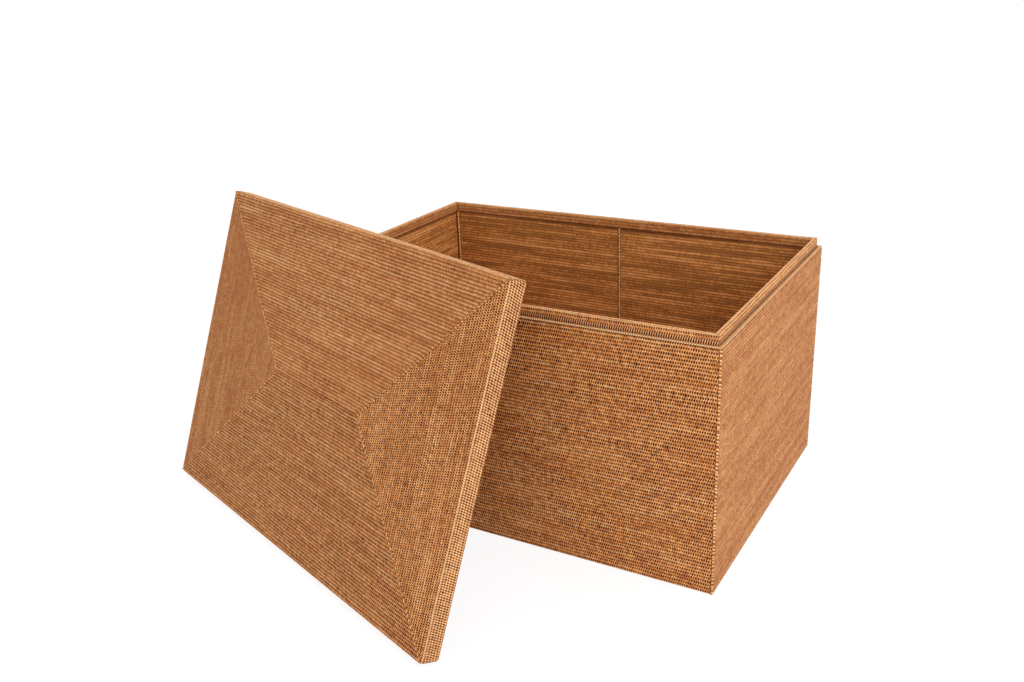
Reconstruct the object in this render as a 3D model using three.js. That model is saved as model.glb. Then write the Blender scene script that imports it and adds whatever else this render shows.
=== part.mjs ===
// A rectangular storage box of woven cane over a frame of thin laths, standing open,
// with its lift-off lid taken off and leaning on the front left corner of its rim.
//
// Millimetres. X runs along the box's width, Y from its front to its back, Z up.
// The origin is the centre of the box's underside.
// "Depth" in a section is measured inward from the woven outer face.

import * as THREE from 'three';

// Box
const boxWidth = 600;
const boxDepth = 418;
const wallHeight = 307; // floor to the ledge that the lid sits on
const wallWeave = 3.0; // thickness of the woven outer wall
const ledgeWidth = 5.6; // how far the collar is set in from the outer face
const ledgeEdging = 2.2; // thickness of the cane course laid on the ledge
const cornerRadius = 2.6; // rounding of the upright outer corners
const footRadius = 2.0; // rounding where the wall weave turns under the box

// Collar
const collarHeight = 12; // above the ledge
const collarThickness = 7.0;
const collarSkin = 1.6; // woven skin round the collar lath
const collarBand = 14; // height of the band on the collar's inner side
const collarRound = 1.6; // rounding of the collar's upper edges

// Frame of laths
const frameLath = 5.4; // thickness of every lath in the box frame
const bottomRailHeight = 24;
const topRailHeight = 28; // from the rail's lower edge to the ledge
const postLeg = 22; // leg of the corner post's angle section
const studWidth = 24;

// Lining and floor
const liningWeave = 1.8;
const liningCord = 3.4; // width of the upright cords in the inner corners
const seamCord = 4.0; // width of the cord over the mid-length seam
const seamProud = 1.2; // how far the seam cord stands out of the lining
const undersideWeave = 2.6;
const boardThickness = 6.0;
const matThickness = 2.2;

// Lid
const lidEdge = 24.6; // full height of the lid's edge
const lidWeave = 3.0; // thickness of the woven top panels
const skirtThickness = 4.2;
const lidRound = 2.6; // rounding of the lid's upper edges
const lidCornerRadius = 4.0; // rounding of the lid's upright corners
const hipInset = 205; // from a short edge to the point where two mitres meet
const hipCord = 2.4; // width of the cord laid along a mitre
const hipProud = 0.6; // how far that cord stands out of the weave
const lidRailWidth = 40;
const lidBoard = 3.2; // thickness of the board let into the lid frame
const lidRebate = 9; // width of the rebate that takes the board
const lidLining = 2.4;

// How the lid leans
const lidYaw = THREE.MathUtils.degToRad(-19.7); // from the box's front, seen from above
const lidLean = THREE.MathUtils.degToRad(20.2); // back from upright
const lidTouch = 160; // along the lid's long edge, from its left end to the box's corner

// Clearances
const seat = 0.3; // between pieces that bear on each other
const collarClearance = 0.4; // above the collar when the lid is on
const arcSteps = 4; // facets of a rounded edge
const cornerSteps = 3; // facets of half a rounded upright corner
const leastCorner = 0.3; // radius left on a corner that is further in than its rounding

// Levels and depths that several pieces share
const frameOuter = wallWeave + seat;
const frameInner = frameOuter + frameLath;
const liningOuter = frameInner + seat;
const liningInner = liningOuter + liningWeave;
const collarInner = ledgeWidth + collarThickness;
const collarTop = wallHeight + collarHeight;
const bandBottom = collarTop - collarBand;
const edgingBottom = wallHeight - ledgeEdging;
const railSeat = edgingBottom - seat;
const frameBottom = undersideWeave + seat;
const boardTop = frameBottom + boardThickness;
const liningBottom = boardTop + seat;
const topRailBottom = wallHeight - topRailHeight;
const bottomRailTop = frameBottom + bottomRailHeight;
const lidWidth = boxWidth;
const lidDepth = boxDepth;
const lidHollow = collarHeight + collarClearance;
const lidPanelBottom = lidEdge - lidWeave;
const lidCoreBottom = lidHollow + lidLining + seat;
const lidCoreTop = lidPanelBottom - seat;
const lidCoreOuter = skirtThickness + seat;

// Rounded edges, held within the thickness that carries them
const leastFlat = 0.2;
const cornerRound = Math.min(cornerRadius, wallWeave - leastFlat);
const footRound = Math.min(footRadius, wallWeave - leastFlat);
const collarEdge = Math.min(collarRound, collarSkin);
const lidEdgeRound = Math.min(lidRound, lidWeave - leastFlat);

// Materials

function finish(color, roughness) {
  return new THREE.MeshStandardMaterial({ color, roughness, metalness: 0 });
}

const wovenCane = finish(0xb5763f, 0.55);
const liningCane = finish(0x9a5f2e, 0.62);
const edgeCane = finish(0xcf965a, 0.5);
const lathWood = finish(0xc49a6c, 0.7);
const boardWood = finish(0xb98d5e, 0.72);

// Sections and outlines

// Points of an arc in a section, from one angle to another, both in quarter turns.
function arc(cx, cy, radius, from, to, steps = arcSteps) {
  const points = [];
  for (let i = 0; i <= steps; i += 1) {
    const angle = (from + ((to - from) * i) / steps) * (Math.PI / 2);
    points.push([cx + radius * Math.cos(angle), cy + radius * Math.sin(angle)]);
  }
  return points;
}

// A rectangle, in section or in plan, from (u0, v0) to (u1, v1).
function block(u0, v0, u1, v1) {
  return [[u0, v0], [u1, v0], [u1, v1], [u0, v1]];
}

// A closed solid from a row of equal outlines. `at(station, point)` places a point.
function loft(outline, stations, at, ring = false) {
  const count = outline.length;
  const positions = [];
  stations.forEach((station) => {
    outline.forEach((point) => positions.push(...at(station, point)));
  });
  const indices = [];
  const spans = ring ? stations.length : stations.length - 1;
  for (let s = 0; s < spans; s += 1) {
    const next = (s + 1) % stations.length;
    for (let i = 0; i < count; i += 1) {
      const j = (i + 1) % count;
      const a = s * count + i;
      const b = s * count + j;
      const c = next * count + j;
      const d = next * count + i;
      indices.push(a, b, c, a, c, d);
    }
  }
  if (!ring) {
    const flat = outline.map(([u, v]) => new THREE.Vector2(u, v));
    const last = (stations.length - 1) * count;
    THREE.ShapeUtils.triangulateShape(flat, []).forEach(([a, b, c]) => {
      indices.push(a, c, b);
      indices.push(last + a, last + b, last + c);
    });
  }
  const geometry = new THREE.BufferGeometry();
  geometry.setAttribute('position', new THREE.Float32BufferAttribute(positions, 3));
  geometry.setIndex(signedVolume(positions, indices) < 0 ? indices.reverse() : indices);
  geometry.computeVertexNormals();
  return geometry;
}

function signedVolume(positions, indices) {
  const point = (i) => new THREE.Vector3().fromArray(positions, 3 * i);
  let volume = 0;
  for (let i = 0; i < indices.length; i += 3) {
    const [a, b, c] = [point(indices[i]), point(indices[i + 1]), point(indices[i + 2])];
    volume += a.dot(b.cross(c)) / 6;
  }
  return volume;
}

// One side of a rectangular ring, as a section of (depth, height) points carried along it.
// Its ends meet their neighbours in a mitre. `half` is half its length at depth 0, and
// `slope` how much shorter each end gets per unit of depth.
function mitredSide(section, half, { radius = 0, slope = 1, gap = seat } = {}) {
  const stations = [];
  const steps = radius > 0 ? cornerSteps : 0;
  for (let i = steps; i >= 0; i -= 1) stations.push([-1, i]);
  for (let i = 0; i <= steps; i += 1) stations.push([1, i]);
  return loft(section, stations, ([end, step], [depth, height]) => {
    if (radius === 0) return [end * (half - gap - slope * depth), depth, height];
    const centre = Math.max(radius, depth + leastCorner);
    const reach = centre - depth;
    const angle = ((step / steps) * Math.PI) / 4;
    const x = half - gap - centre + reach * Math.sin(angle);
    return [end * x, centre - reach * Math.cos(angle), height];
  });
}

// A whole rectangular ring from one section of (depth, height) points.
function ringSide(section, width, depth, radius) {
  const stations = [];
  for (let corner = 0; corner < 4; corner += 1) {
    for (let i = 0; i <= 2 * cornerSteps; i += 1) {
      stations.push([corner, ((corner + i / (2 * cornerSteps)) * Math.PI) / 2]);
    }
  }
  return loft(section, stations, ([corner, angle], [inward, height]) => {
    const centre = Math.max(radius, inward + leastCorner);
    const reach = centre - inward;
    const sx = corner === 0 || corner === 3 ? 1 : -1;
    const sy = corner < 2 ? 1 : -1;
    const x = sx * (width / 2 - centre) + reach * Math.cos(angle);
    const y = sy * (depth / 2 - centre) + reach * Math.sin(angle);
    return [x, y, height];
  }, true);
}

// A straight piece from one section, between two places along the side.
function straightSide(section, from, to) {
  return loft(section, [from, to], (x, [depth, height]) => [x, depth, height]);
}

// An upright or flat piece from a plan outline.
function slab(outline, bottom, top) {
  const shape = new THREE.Shape(outline.map(([x, y]) => new THREE.Vector2(x, y)));
  const geometry = new THREE.ExtrudeGeometry(shape, {
    depth: top - bottom, bevelEnabled: false, curveSegments: 1,
  });
  geometry.translate(0, 0, bottom);
  return geometry;
}

// A flat rectangular piece, set in from the edges of a larger rectangle.
function plate(width, depth, inset, bottom, top) {
  const x = width / 2 - inset;
  const y = depth / 2 - inset;
  return slab(block(-x, -y, x, y), bottom, top);
}

// Placing

// The four sides of a rectangle: how far each is turned, half its length and its outer face.
function sidesOf(width, depth) {
  return [
    { name: 'front', turn: 0, half: width / 2, face: depth / 2 },
    { name: 'right', turn: Math.PI / 2, half: depth / 2, face: width / 2 },
    { name: 'back', turn: Math.PI, half: width / 2, face: depth / 2 },
    { name: 'left', turn: -Math.PI / 2, half: depth / 2, face: width / 2 },
  ];
}

const cornersOfBox = [
  { name: 'front_left', turn: 0, sx: -1, sy: -1 },
  { name: 'front_right', turn: Math.PI / 2, sx: 1, sy: -1 },
  { name: 'back_right', turn: Math.PI, sx: 1, sy: 1 },
  { name: 'back_left', turn: -Math.PI / 2, sx: -1, sy: 1 },
];

function add(parent, name, geometry, material) {
  const mesh = new THREE.Mesh(geometry, material);
  mesh.name = name;
  parent.add(mesh);
  return mesh;
}

// Adds a piece that was drawn along X with its outer face at y = 0 to its own side.
function addToSide(parent, name, geometry, material, side) {
  const mesh = add(parent, `${name}_${side.name}`, geometry, material);
  mesh.rotation.z = side.turn;
  mesh.position.set(Math.sin(side.turn) * side.face, -Math.cos(side.turn) * side.face, 0);
  return mesh;
}

// Adds a piece drawn in the front left corner, with that corner at (0, 0), to its corner.
function addToCorner(parent, name, geometry, material, corner) {
  const mesh = add(parent, `${name}_${corner.name}`, geometry, material);
  mesh.rotation.z = corner.turn;
  mesh.position.set((corner.sx * boxWidth) / 2, (corner.sy * boxDepth) / 2, 0);
  return mesh;
}

// Box frame

// The top rail is rebated: its outer part carries the ledge, its inner part the collar.
function topRailSection() {
  const uprightOuter = ledgeWidth + collarSkin + seat;
  const uprightInner = collarInner - collarSkin - seat;
  const uprightTop = collarTop - collarSkin - seat;
  return [
    [frameOuter, topRailBottom],
    [frameInner, topRailBottom],
    [frameInner, bandBottom],
    [uprightInner, bandBottom],
    [uprightInner, uprightTop],
    [uprightOuter, uprightTop],
    [uprightOuter, railSeat],
    [frameOuter, railSeat],
  ];
}

function addFrame(parent) {
  const bottomSection = block(frameOuter, frameBottom, frameInner, bottomRailTop);
  sidesOf(boxWidth, boxDepth).forEach((side) => {
    addToSide(parent, 'bottom_rail', mitredSide(bottomSection, side.half), lathWood, side);
    addToSide(parent, 'top_rail', mitredSide(topRailSection(), side.half), lathWood, side);
  });
  const legEnd = frameOuter + postLeg;
  const angleOutline = [
    [frameOuter, frameOuter], [legEnd, frameOuter], [legEnd, frameInner],
    [frameInner, frameInner], [frameInner, legEnd], [frameOuter, legEnd],
  ];
  cornersOfBox.forEach((corner) => {
    const post = slab(angleOutline, bottomRailTop + seat, topRailBottom - seat);
    addToCorner(parent, 'corner_post', post, lathWood, corner);
  });
  const studSection = block(frameOuter, bottomRailTop + seat, frameInner, topRailBottom - seat);
  sidesOf(boxWidth, boxDepth).filter((side) => side.half > side.face).forEach((side) => {
    const stud = straightSide(studSection, -studWidth / 2, studWidth / 2);
    addToSide(parent, 'mid_stud', stud, lathWood, side);
  });
}

// Floor of the box

function addFloor(parent) {
  const skin = plate(boxWidth, boxDepth, frameOuter, 0, undersideWeave);
  add(parent, 'underside_weave', skin, wovenCane);
  const board = plate(boxWidth, boxDepth, liningOuter, frameBottom, boardTop);
  add(parent, 'base_board', board, boardWood);
  const matInset = liningInner + seamProud + seat;
  const matCorner = liningInner + liningCord + seat;
  const mat = notchedPlan(boxWidth / 2, boxDepth / 2, matInset, matCorner);
  add(parent, 'floor_mat', slab(mat, liningBottom, liningBottom + matThickness), liningCane);
}

// A rectangle set in from all sides, with its corners cut square round the corner cords.
function notchedPlan(halfX, halfY, inset, corner) {
  const outline = [];
  [[1, 1], [-1, 1], [-1, -1], [1, -1]].forEach(([sx, sy]) => {
    const sideFirst = [sx * (halfX - inset), sy * (halfY - corner)];
    const notch = [sx * (halfX - corner), sy * (halfY - corner)];
    const endLast = [sx * (halfX - corner), sy * (halfY - inset)];
    const turn = [sideFirst, notch, endLast];
    outline.push(...(sx * sy > 0 ? turn : turn.reverse()));
  });
  return outline;
}

// Woven outer walls and the cords that join them

function addWalls(parent) {
  const section = [
    ...arc(footRound, footRound, footRound, -2, -1),
    [wallWeave, 0],
    [wallWeave, railSeat],
    [0, railSeat],
  ];
  sidesOf(boxWidth, boxDepth).forEach((side) => {
    const half = side.half - wallWeave - seat;
    addToSide(parent, 'wall_weave', straightSide(section, -half, half), wovenCane, side);
  });
  const cordOutline = [
    [wallWeave, 0], [wallWeave, wallWeave], [0, wallWeave],
    ...arc(cornerRound, cornerRound, cornerRound, 2, 3),
  ];
  cornersOfBox.forEach((corner) => {
    addToCorner(parent, 'wall_corner_cord', slab(cordOutline, 0, railSeat), edgeCane, corner);
  });
}

// The bright course on the ledge, in one ring round the box

function addLedgeEdging(parent) {
  const inner = ledgeWidth - seat;
  const round = ledgeEdging / 2;
  const section = [
    [round, edgingBottom],
    [inner, edgingBottom],
    [inner, wallHeight],
    ...arc(round, wallHeight - round, round, 1, 3, 2 * arcSteps).slice(0, -1),
  ];
  add(parent, 'ledge_edging', ringSide(section, boxWidth, boxDepth, cornerRound), edgeCane);
}

// The woven band that wraps the collar: up its outside, over the lath and down the inside

function collarBandSection() {
  const outer = ledgeWidth;
  const inner = collarInner;
  return [
    [outer, edgingBottom],
    [outer + collarSkin, edgingBottom],
    [outer + collarSkin, collarTop - collarSkin],
    [inner - collarSkin, collarTop - collarSkin],
    [inner - collarSkin, bandBottom],
    [inner, bandBottom],
    ...arc(inner - collarEdge, collarTop - collarEdge, collarEdge, 0, 1),
    ...arc(outer + collarEdge, collarTop - collarEdge, collarEdge, 1, 2),
  ];
}

function addCollar(parent) {
  sidesOf(boxWidth, boxDepth).forEach((side) => {
    const band = mitredSide(collarBandSection(), side.half, { radius: ledgeWidth + cornerRound });
    addToSide(parent, 'collar_band', band, wovenCane, side);
  });
}

// Lining inside the walls, with cords in the corners and over the two mid-length seams

function addLining(parent) {
  const top = bandBottom - seat;
  const panel = block(liningOuter, liningBottom, liningInner, top);
  const cornerEnd = liningInner + liningCord + seat;
  sidesOf(boxWidth, boxDepth).forEach((side) => {
    const half = side.half - cornerEnd;
    if (side.half < side.face) {
      addToSide(parent, 'lining', straightSide(panel, -half, half), liningCane, side);
      return;
    }
    const seamEdge = seamCord / 2 + seat;
    const leftHalf = straightSide(panel, -half, -seamEdge);
    const rightHalf = straightSide(panel, seamEdge, half);
    addToSide(parent, 'lining_left_half', leftHalf, liningCane, side);
    addToSide(parent, 'lining_right_half', rightHalf, liningCane, side);
    const cordOutline = [
      [-seamCord / 2, liningOuter],
      [seamCord / 2, liningOuter],
      [seamCord / 2, liningInner],
      ...arc(0, liningInner, seamProud, 0, 2),
      [-seamCord / 2, liningInner],
    ];
    addToSide(parent, 'seam_cord', slab(cordOutline, liningBottom, top), edgeCane, side);
  });
  const cordFace = liningInner + liningCord;
  const cornerOutline = [
    [liningOuter, liningOuter],
    [cordFace, liningOuter],
    ...arc(liningInner, liningInner, liningCord, 0, 1),
    [liningOuter, cordFace],
  ];
  cornersOfBox.forEach((corner) => {
    const cord = slab(cornerOutline, liningBottom, top);
    addToCorner(parent, 'lining_corner_cord', cord, edgeCane, corner);
  });
}

// Lid. Drawn with its skirt's rim at z = 0, its woven face up and its centre at (0, 0).

// The long panels are trapezoids and the short ones triangles, meeting along the mitres.
function addLidPanels(lid) {
  const channel = hipCord / 2 + seat;
  sidesOf(lidWidth, lidDepth).forEach((side) => {
    const long = side.half > side.face;
    const slope = long ? (2 * hipInset) / lidDepth : lidDepth / (2 * hipInset);
    const gap = channel * Math.hypot(1, slope);
    const deepest = long ? lidDepth / 2 - channel : (side.half - gap) / slope - seat;
    const section = [
      [0, lidPanelBottom],
      [deepest, lidPanelBottom],
      [deepest, lidEdge],
      ...arc(lidEdgeRound, lidEdge - lidEdgeRound, lidEdgeRound, 1, 2),
    ];
    const panel = mitredSide(section, side.half, { slope, gap });
    addToSide(lid, 'lid_panel', panel, wovenCane, side);
  });
}

// A cord along the mitres at one end of the lid, from corner to corner by way of the ridge,
// and one along the ridge between them.
function addHipCords(lid) {
  const bottom = lidPanelBottom;
  const top = lidEdge + hipProud;
  const along = hipInset - lidRound;
  const across = (along * lidDepth) / (2 * hipInset);
  const length = Math.hypot(along, across);
  const acrossHalf = ((hipCord / 2) * length) / along;
  const alongHalf = ((hipCord / 2) * length) / across;
  const apex = lidWidth / 2 - hipInset;
  const start = lidWidth / 2 - lidRound;
  [['right', 1], ['left', -1]].forEach(([name, end]) => {
    const outline = [
      [end * start, across - acrossHalf],
      [end * (apex + alongHalf), 0],
      [end * start, acrossHalf - across],
      [end * start, -across],
      [end * (start - alongHalf), -across],
      [end * (apex - alongHalf), 0],
      [end * (start - alongHalf), across],
      [end * start, across],
    ];
    add(lid, `lid_hip_cord_${name}`, slab(outline, bottom, top), edgeCane);
  });
  const ridge = apex - alongHalf - seat;
  const ridgeOutline = block(-ridge, -hipCord / 2, ridge, hipCord / 2);
  add(lid, 'lid_ridge_cord', slab(ridgeOutline, bottom, top), edgeCane);
}

function addSkirts(lid) {
  const rim = skirtThickness / 2;
  const section = [
    ...arc(rim, rim, rim, -2, 0, 2 * arcSteps),
    [skirtThickness, lidPanelBottom - seat],
    [0, lidPanelBottom - seat],
  ];
  sidesOf(lidWidth, lidDepth).forEach((side) => {
    const skirt = mitredSide(section, side.half, { radius: lidCornerRadius });
    addToSide(lid, 'lid_skirt', skirt, wovenCane, side);
  });
}

// Four flat rails, mitred, with a rebate round their inner edge that takes the board.
function addLidCore(lid) {
  const boardSeat = lidCoreTop - lidBoard - seat;
  const innerEdge = lidCoreOuter + lidRailWidth;
  const rebateEdge = innerEdge - lidRebate;
  const section = [
    [lidCoreOuter, lidCoreBottom],
    [innerEdge, lidCoreBottom],
    [innerEdge, boardSeat],
    [rebateEdge, boardSeat],
    [rebateEdge, lidCoreTop],
    [lidCoreOuter, lidCoreTop],
  ];
  sidesOf(lidWidth, lidDepth).forEach((side) => {
    addToSide(lid, 'lid_rail', mitredSide(section, side.half), lathWood, side);
  });
  const board = plate(lidWidth, lidDepth, rebateEdge + seat, boardSeat + seat, lidCoreTop);
  add(lid, 'lid_board', board, boardWood);
  const lining = plate(lidWidth, lidDepth, lidCoreOuter, lidHollow, lidHollow + lidLining);
  add(lid, 'lid_lining', lining, liningCane);
}

// The lid leans with its lining on the box's front left corner and stands on the rim of its
// lower skirt. Both contacts fix its place, for any lean, turn and size.
function placeLid(lid) {
  const along = new THREE.Vector3(Math.cos(lidYaw), Math.sin(lidYaw), 0);
  const outward = new THREE.Vector3(Math.sin(lidYaw), -Math.cos(lidYaw), 0);
  const up = new THREE.Vector3(0, 0, 1);
  const normal = outward.clone().multiplyScalar(Math.cos(lidLean));
  normal.addScaledVector(up, Math.sin(lidLean));
  const rise = outward.clone().multiplyScalar(-Math.sin(lidLean));
  rise.addScaledVector(up, Math.cos(lidLean));

  // the rounded corners of the collar and of the ledge, and the one that the lid meets first
  const roundedCorner = (inset, plan, level, edge) => {
    const centre = inset + plan;
    const point = new THREE.Vector3(centre - boxWidth / 2, centre - boxDepth / 2, level - edge);
    point.addScaledVector(outward, Math.max(plan - edge, 0));
    return point.addScaledVector(normal, edge);
  };
  const corners = [
    roundedCorner(ledgeWidth, cornerRound, collarTop, collarEdge),
    roundedCorner(0, cornerRound, wallHeight, ledgeEdging / 2),
  ];
  const contact = corners.reduce((a, b) => (a.dot(normal) > b.dot(normal) ? a : b));

  // the skirt's rounded rim on the floor, and the lining on that corner
  const rim = skirtThickness / 2;
  const rimLevel = rim * (1 - Math.sin(lidLean) - Math.cos(lidLean));
  const height = contact.z - rimLevel;
  const run = (lidHollow - seat - height * Math.sin(lidLean)) / Math.cos(lidLean);
  const centre = new THREE.Vector3(contact.x, contact.y, rimLevel);
  centre.addScaledVector(outward, -run);
  centre.addScaledVector(along, lidWidth / 2 - lidTouch);
  centre.addScaledVector(rise, lidDepth / 2);
  lid.quaternion.setFromRotationMatrix(new THREE.Matrix4().makeBasis(along, rise, normal));
  lid.position.copy(centre);
}

const storageBox = new THREE.Group();
const box = new THREE.Group();
const lid = new THREE.Group();
storageBox.add(box, lid);

addFrame(box);
addFloor(box);
addWalls(box);
addLedgeEdging(box);
addCollar(box);
addLining(box);

addLidCore(lid);
addLidPanels(lid);
addHipCords(lid);
addSkirts(lid);
placeLid(lid);

export default storageBox;
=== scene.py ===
import math
from functools import partialmethod
from typing import NamedTuple

import bmesh
import bpy
import numpy as np
from bpy.props import FloatProperty, FloatVectorProperty, PointerProperty
from bpy.types import Operator, Panel, PropertyGroup
from mathutils import Matrix, Vector


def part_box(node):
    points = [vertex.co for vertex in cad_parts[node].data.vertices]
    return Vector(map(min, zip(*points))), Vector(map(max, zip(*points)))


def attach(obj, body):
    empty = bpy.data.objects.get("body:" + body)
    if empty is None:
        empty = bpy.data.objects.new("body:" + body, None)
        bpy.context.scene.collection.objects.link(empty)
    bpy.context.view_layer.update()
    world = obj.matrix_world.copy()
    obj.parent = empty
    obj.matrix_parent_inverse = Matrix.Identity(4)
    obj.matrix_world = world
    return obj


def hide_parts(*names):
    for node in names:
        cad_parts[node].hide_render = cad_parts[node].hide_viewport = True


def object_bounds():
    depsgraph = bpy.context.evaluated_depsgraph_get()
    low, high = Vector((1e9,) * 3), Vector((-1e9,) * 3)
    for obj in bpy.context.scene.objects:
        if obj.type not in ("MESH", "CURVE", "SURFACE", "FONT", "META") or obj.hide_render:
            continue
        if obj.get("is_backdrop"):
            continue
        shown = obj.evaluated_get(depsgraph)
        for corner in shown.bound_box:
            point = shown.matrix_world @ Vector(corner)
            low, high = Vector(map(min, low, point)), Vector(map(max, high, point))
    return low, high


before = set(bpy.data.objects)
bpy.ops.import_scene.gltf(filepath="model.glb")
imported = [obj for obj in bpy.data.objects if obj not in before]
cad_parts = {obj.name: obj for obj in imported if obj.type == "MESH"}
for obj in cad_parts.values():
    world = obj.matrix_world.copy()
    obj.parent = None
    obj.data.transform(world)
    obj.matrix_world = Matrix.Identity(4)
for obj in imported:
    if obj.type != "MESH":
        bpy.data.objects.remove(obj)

bl_info = {
    "name": "Woven cane storage box",
    "version": (1, 0, 0),
    "blender": (4, 5, 0),
    "location": "3D View > Sidebar > Cane Box",
    "description": "Dresses a lath-framed storage box and its leaning lid in woven cane",
    "category": "Add Mesh",
}

# The box stands on the floor with X along its width and Z up. A side is drawn along X, with Y the
# depth in from its outer face and Z the height, and is then turned into its own place.
SIDES = {"front": 0, "right": 90, "back": 180, "left": -90}
LONG_SIDES = ("front", "back")
CORNERS = {
    "front_left": (0, -1, -1),
    "front_right": (90, 1, -1),
    "back_right": (180, 1, 1),
    "back_left": (-90, -1, 1),
}
BOX_LOW, BOX_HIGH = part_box("ledge_edging")
WIDTH = BOX_HIGH.x - BOX_LOW.x
DEPTH = BOX_HIGH.y - BOX_LOW.y
MM = 0.001
JOIN = 0.01 * MM  # points nearer to each other than this are merged


# Sizes and colours

def length_setting(name, description, millimetres):
    return FloatProperty(name=name, description=description, default=millimetres * MM,
                         unit="LENGTH", precision=5)


def share_setting(name, description, default):
    return FloatProperty(name=name, description=description, default=default, subtype="FACTOR")


def angle_setting(name, description, degrees):
    return FloatProperty(name=name, description=description, default=math.radians(degrees),
                         subtype="ANGLE")


def colour_setting(name, description, *default):
    return FloatVectorProperty(name=name, description=description, default=default,
                               subtype="COLOR", size=3)


class WeaveSizes(PropertyGroup):
    """Sizes of the cane work."""

    course: length_setting("Course", "Height of a course of the outer walls", 4.5)
    lid_course: length_setting("Lid course", "Height of a course of the lid's panels and edge", 4.0)
    lining_course: length_setting("Lining course", "Height of a course of linings and mat", 4.3)
    stitch: length_setting("Stitch", "Distance from one stitch to the next along a course", 2.8)
    relief: length_setting("Relief", "Depth of the line between two courses", 0.55)
    groove: length_setting("Groove", "Depth of the groove between two stitches", 0.25)
    pit: length_setting("Pit", "Further depth of the pit where a groove meets the next course", 0.9)
    bond: share_setting("Bond", "Offset of every second row of pits, in stitches", 0.5)
    drift: share_setting("Drift", "How far stitches move on with each course, in stitches", 0.046)
    stray: share_setting("Stray", "How far a row of pits strays from its place, in stitches", 0.08)
    wander: share_setting("Wander", "How far stitches stray along a row of pits, in stitches", 0.3)
    sway: length_setting("Sway", "How far a course may lie above or below its place", 0.7)


class RoundedEdges(PropertyGroup):
    """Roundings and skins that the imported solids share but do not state."""

    foot: length_setting("Foot", "Rounding where the wall weave turns under the box", 2.0)
    corner: length_setting("Corner", "Rounding of the upright outer corners", 2.6)
    collar: length_setting("Collar", "Rounding of the collar's upper edges", 1.6)
    collar_skin: length_setting("Collar skin", "Thickness of the weave over the collar lath", 1.6)
    lid: length_setting("Lid", "Rounding of the lid's upper edges", 2.6)
    lid_corner: length_setting("Lid corner", "Rounding of the lid's upright corners", 4.0)
    seat: length_setting("Seat", "Gap between pieces that bear on each other", 0.3)
    hip_inset: length_setting("Hip inset", "From a short edge of the lid to where mitres meet", 205)


class CaneColours(PropertyGroup):
    """Colours of the cane and the wood, and of the painted shade in the pits of the weave."""

    honey: colour_setting("Honey", "Lighter cane of the outer weave", 0.920, 0.430, 0.142)
    russet: colour_setting("Russet", "Darker cane of the outer weave", 0.590, 0.200, 0.051)
    pale: colour_setting("Pale", "Palest strands of weave and cords", 1.000, 0.640, 0.330)
    # rim and shade are painted shade: rim at the edge of a pit, along the line between courses and
    # in slits; shade inside a pit or slit, and over darkened courses and pieces
    rim: colour_setting("Rim", "Edge of a pit and line between courses", 0.290, 0.078, 0.018)
    shade: colour_setting("Shade", "Inside of a pit", 0.065, 0.014, 0.004)
    lining: colour_setting("Lining", "Cane of the lining", 0.780, 0.320, 0.082)
    wood: colour_setting("Wood", "Laths and boards", 0.520, 0.320, 0.150)


class StageSettings(PropertyGroup):
    """Floor, lamps and camera."""

    lens: FloatProperty(
        name="Lens", description="Focal length on a sensor 36 mm wide",
        default=35.846, subtype="DISTANCE_CAMERA")
    camera_place: FloatVectorProperty(
        name="Camera place", description="Where the camera stands",
        default=(0.6132, -1.1682, 0.7096), subtype="TRANSLATION", size=3)
    azimuth: angle_setting("Azimuth", "Turn of the camera round the box, 0 looking along Y", 30.608)
    elevation: angle_setting("Elevation", "How far the camera looks down", 21.309)
    roll: angle_setting("Roll", "Turn of the camera about its own axis", -2.377)
    sky: FloatProperty(
        name="Sky", description="Strength of the even light from all round", default=0.95)
    key: FloatProperty(
        name="Key lamp", description="Power of the large soft lamp at the right",
        default=24.0, subtype="POWER")
    fill: FloatProperty(
        name="Fill lamp", description="Power of the soft lamp over the front",
        default=9.0, subtype="POWER")


# Arithmetic on node sockets

class Wire:
    """An output socket of a node tree. Arithmetic on it adds Math nodes to that tree.

    The rest of the arithmetic is added below the class, each kind with its Math operation.
    """

    def __init__(self, tree, socket):
        self.tree, self.socket = tree, socket

    def math(self, operation, *others):
        return node(self.tree, "ShaderNodeMath", self, *others, operation=operation)

    def __rsub__(self, other):
        return node(self.tree, "ShaderNodeMath", other, self, operation="SUBTRACT")

    def parts(self):
        """The three components of a vector."""
        split = self.tree.nodes.new("ShaderNodeSeparateXYZ")
        plug(self.tree, split.inputs[0], self)
        return [Wire(self.tree, socket) for socket in split.outputs]

    def ramp(self, low, high, to_low=0.0, to_high=1.0):
        """A smooth step from to_low to to_high as the value goes from low to high."""
        return node(
            self.tree, "ShaderNodeMapRange", out="Result", interpolation_type="SMOOTHSTEP",
            named={"Value": self, "From Min": low, "From Max": high, "To Min": to_low,
                   "To Max": to_high})


for called, operation in (
        ("__add__", "ADD"), ("__radd__", "ADD"), ("__sub__", "SUBTRACT"), ("__mul__", "MULTIPLY"),
        ("__rmul__", "MULTIPLY"), ("__truediv__", "DIVIDE"), ("least", "MINIMUM"),
        ("most", "MAXIMUM"), ("size", "ABSOLUTE"), ("whole", "FLOOR"), ("nearest", "ROUND")):
    setattr(Wire, called, partialmethod(Wire.math, operation))


def plug(tree, socket, value):
    """Joins a wire, or writes a value, to an input socket."""
    if isinstance(value, Wire):
        tree.links.new(value.socket, socket)
    else:
        socket.default_value = value


def live(sockets, name=None):
    """The sockets in use, all or those of one name; some nodes have one for each data type."""
    return [s for s in sockets if s.enabled and name in (None, s.name)]


def node(tree, kind, *inputs, out=None, named=None, **settings):
    """Adds a node, sets it up and joins its inputs in order, or by name."""
    new = tree.nodes.new(kind)
    for key, value in settings.items():
        setattr(new, key, value)
    for socket, value in zip(live(new.inputs), inputs):
        plug(tree, socket, value)
    for name, value in (named or {}).items():
        plug(tree, live(new.inputs, name)[0], value)
    return Wire(tree, live(new.outputs, out)[0])


def vector(tree, x=0.0, y=0.0, z=0.0):
    return node(tree, "ShaderNodeCombineXYZ", x, y, z)


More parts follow.
